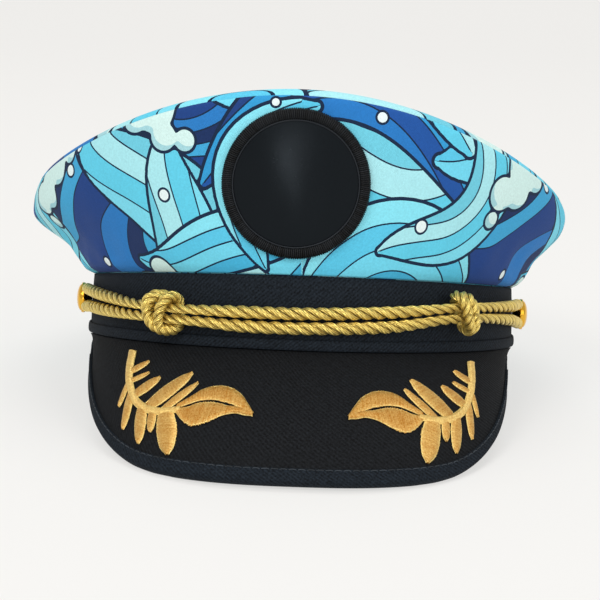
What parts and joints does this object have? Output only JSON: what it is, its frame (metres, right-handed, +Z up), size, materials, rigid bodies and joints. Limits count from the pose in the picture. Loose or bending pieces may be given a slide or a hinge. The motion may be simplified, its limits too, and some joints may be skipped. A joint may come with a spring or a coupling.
{
  "type": "captain hat",
  "caption": "Peaked captain's hat with a soft printed crown, a black band and peak, leaf embroidery, a round blank patch and a gold cord.",
  "frame": {"origin": "on the surface the hat rests on, below the middle of its bounding box", "axes": "+Z up, +Y towards the back of the hat (the peak points to -Y), +X towards the wearer's left; the hat leans back as it rests, its band about 11 degrees from level"},
  "size_m": [0.2244, 0.2798, 0.1365],
  "materials": {
    "printed_cloth": "plain woven polyester, printed in blues",
    "black_twill": "matte cotton twill",
    "peak_cloth": "matte twill over a stiff core",
    "patch_leather": "smooth, with a soft sheen",
    "border_thread": "overlocked polyester thread",
    "gold_cord": "three-ply twisted metallic yarn",
    "gilt_metal": "polished gilt",
    "gold_thread": "satin-stitched rayon thread"
  },
  "bodies": {
    "root": {"crown_top": "printed_cloth", "crown_side": "printed_cloth", "band": "black_twill", "band_welt": "black_twill", "peak": "peak_cloth", "peak_binding": "black_twill", "patch": "patch_leather", "patch_border": "border_thread", "cord": "gold_cord", "left_knot": "gold_cord", "right_knot": "gold_cord", "left_spray": "gold_thread", "right_spray": "gold_thread", "left_button": "gilt_metal", "right_button": "gilt_metal"}
  },
  "joints": []
}
